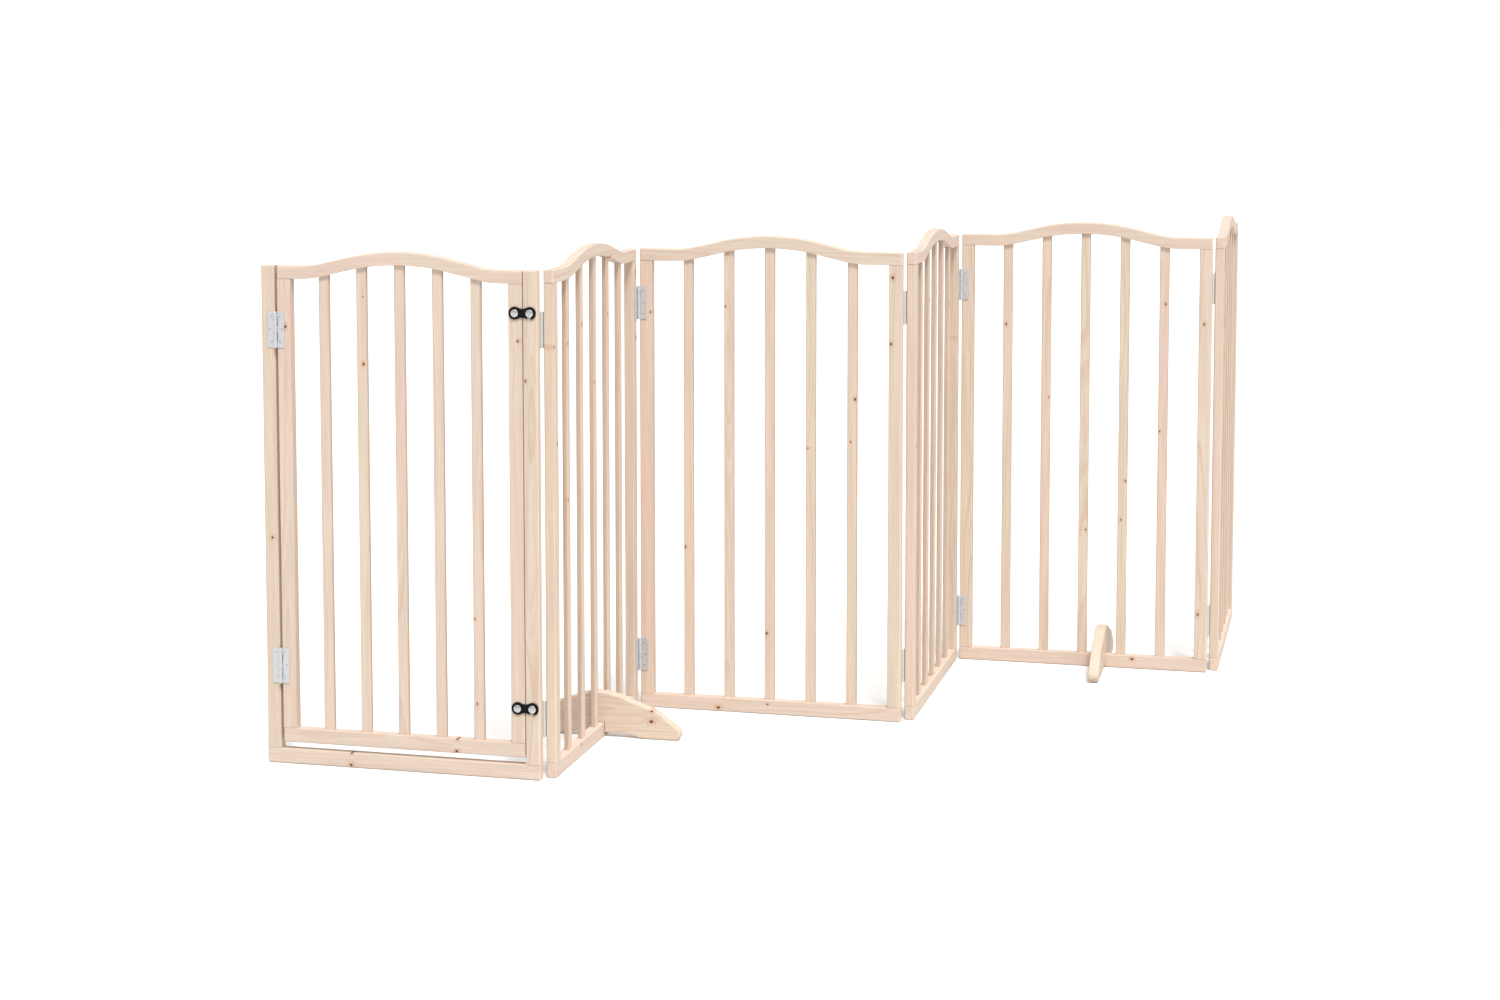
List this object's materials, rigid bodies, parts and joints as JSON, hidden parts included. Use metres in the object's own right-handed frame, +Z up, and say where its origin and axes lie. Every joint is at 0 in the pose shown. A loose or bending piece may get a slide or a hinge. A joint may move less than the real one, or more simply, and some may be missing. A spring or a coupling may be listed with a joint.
{
  "type": "folding pet gate",
  "caption": "Free-standing folding pet gate of raw softwood: barred panels with wavy top rails hinged in a zigzag, a latched door in the first panel, and slotted support feet.",
  "frame": {"origin": "on the floor under the middle of the whole gate, at rest in its zigzag", "axes": "+X along the row of panels from the door panel to the last panel, +Z up, the front that the door opens to looks towards -Y"},
  "size_m": [2.2246, 0.3668, 0.8999],
  "materials": {
    "upright_wood": "raw planed softwood, satin",
    "rail_wood": "raw planed softwood, satin",
    "foot_wood": "raw planed softwood, satin",
    "hinge_zinc": "bright zinc plate",
    "latch_black": "black lacquered steel, satin",
    "latch_screw": "nickel-plated steel, polished"
  },
  "bodies": {
    "door_frame": {"door_sill": "rail_wood", "door_post_left": "upright_wood", "door_post_right": "upright_wood", "door_hinge_upper_post_leaf": "hinge_zinc", "door_hinge_lower_post_leaf": "hinge_zinc", "latch_upper_catch_screw": "latch_screw", "latch_lower_catch_screw": "latch_screw", "fold_hinge_1_2_upper_left_leaf": "hinge_zinc", "fold_hinge_1_2_lower_left_leaf": "hinge_zinc"},
    "door": {"door_stile_left": "upright_wood", "door_stile_right": "upright_wood", "door_top_rail": "rail_wood", "door_bars_and_bottom_rail": "rail_wood", "door_hinge_upper_door_leaf": "hinge_zinc", "door_hinge_lower_door_leaf": "hinge_zinc", "latch_upper_pivot_screw": "latch_screw", "latch_lower_pivot_screw": "latch_screw"},
    "upper_latch": {"latch_upper_hook": "latch_black"},
    "lower_latch": {"latch_lower_hook": "latch_black"},
    "panel_2": {"panel_2_stile_left": "upright_wood", "panel_2_stile_right": "upright_wood", "panel_2_top_rail": "rail_wood", "panel_2_bars_and_bottom_rail": "rail_wood", "fold_hinge_1_2_upper_right_leaf": "hinge_zinc", "fold_hinge_1_2_lower_right_leaf": "hinge_zinc", "fold_hinge_2_3_upper_left_leaf": "hinge_zinc", "fold_hinge_2_3_lower_left_leaf": "hinge_zinc"},
    "panel_3": {"panel_3_stile_left": "upright_wood", "panel_3_stile_right": "upright_wood", "panel_3_top_rail": "rail_wood", "panel_3_bars_and_bottom_rail": "rail_wood", "fold_hinge_2_3_upper_right_leaf": "hinge_zinc", "fold_hinge_2_3_lower_right_leaf": "hinge_zinc", "fold_hinge_3_4_upper_left_leaf": "hinge_zinc", "fold_hinge_3_4_lower_left_leaf": "hinge_zinc"},
    "panel_4": {"panel_4_stile_left": "upright_wood", "panel_4_stile_right": "upright_wood", "panel_4_top_rail": "rail_wood", "panel_4_bars_and_bottom_rail": "rail_wood", "fold_hinge_3_4_upper_right_leaf": "hinge_zinc", "fold_hinge_3_4_lower_right_leaf": "hinge_zinc", "fold_hinge_4_5_upper_left_leaf": "hinge_zinc", "fold_hinge_4_5_lower_left_leaf": "hinge_zinc"},
    "panel_5": {"panel_5_stile_left": "upright_wood", "panel_5_stile_right": "upright_wood", "panel_5_top_rail": "rail_wood", "panel_5_bars_and_bottom_rail": "rail_wood", "fold_hinge_4_5_upper_right_leaf": "hinge_zinc", "fold_hinge_4_5_lower_right_leaf": "hinge_zinc", "fold_hinge_5_6_upper_left_leaf": "hinge_zinc", "fold_hinge_5_6_lower_left_leaf": "hinge_zinc"},
    "panel_6": {"panel_6_stile_left": "upright_wood", "panel_6_stile_right": "upright_wood", "panel_6_top_rail": "rail_wood", "panel_6_bars_and_bottom_rail": "rail_wood", "fold_hinge_5_6_upper_right_leaf": "hinge_zinc", "fold_hinge_5_6_lower_right_leaf": "hinge_zinc"},
    "foot_2": {"foot_on_panel_2": "foot_wood"},
    "foot_5": {"foot_on_panel_5": "foot_wood"}
  },
  "joints": [
    {"name": "fold_1_2", "type": "hinge", "parent": "door_frame", "child": "panel_2", "pos_m": [-0.74331, -0.16787, 0.4365], "axis": [0, 0, -1], "range_deg": [-60, 90]},
    {"name": "fold_2_3", "type": "hinge", "parent": "panel_2", "child": "panel_3", "pos_m": [-0.37166, 0.16843, 0.4365], "axis": [0, 0, 1], "range_deg": [-52, 90]},
    {"name": "fold_3_4", "type": "hinge", "parent": "panel_3", "child": "panel_4", "pos_m": [0, -0.16787, 0.4365], "axis": [0, 0, -1], "range_deg": [-87, 90]},
    {"name": "fold_4_5", "type": "hinge", "parent": "panel_4", "child": "panel_5", "pos_m": [0.37166, 0.16843, 0.4365], "axis": [0, 0, 1], "range_deg": [-60, 90]},
    {"name": "fold_5_6", "type": "hinge", "parent": "panel_5", "child": "panel_6", "pos_m": [0.74331, -0.16787, 0.4365], "axis": [0, 0, -1], "range_deg": [-52, 90]},
    {"name": "door_swing", "type": "hinge", "parent": "door_frame", "child": "door", "pos_m": [-1.09549, 0.14895, 0.4365], "axis": [0, 0, -1], "range_deg": [0, 175]},
    {"name": "upper_latch_lift", "type": "hinge", "parent": "door", "child": "upper_latch", "pos_m": [-0.77994, -0.14892, 0.801], "axis": [-0.7071, -0.7071, 0], "range_deg": [0, 120]},
    {"name": "lower_latch_lift", "type": "hinge", "parent": "door", "child": "lower_latch", "pos_m": [-0.77994, -0.14892, 0.124], "axis": [-0.7071, -0.7071, 0], "range_deg": [0, 120]},
    {"name": "foot_2_lift_off", "type": "slide", "parent": "panel_2", "child": "foot_2", "axis": [0, 0, 1], "range_m": [0, 0.04]},
    {"name": "foot_5_lift_off", "type": "slide", "parent": "panel_5", "child": "foot_5", "axis": [0, 0, 1], "range_m": [0, 0.04]}
  ]
}
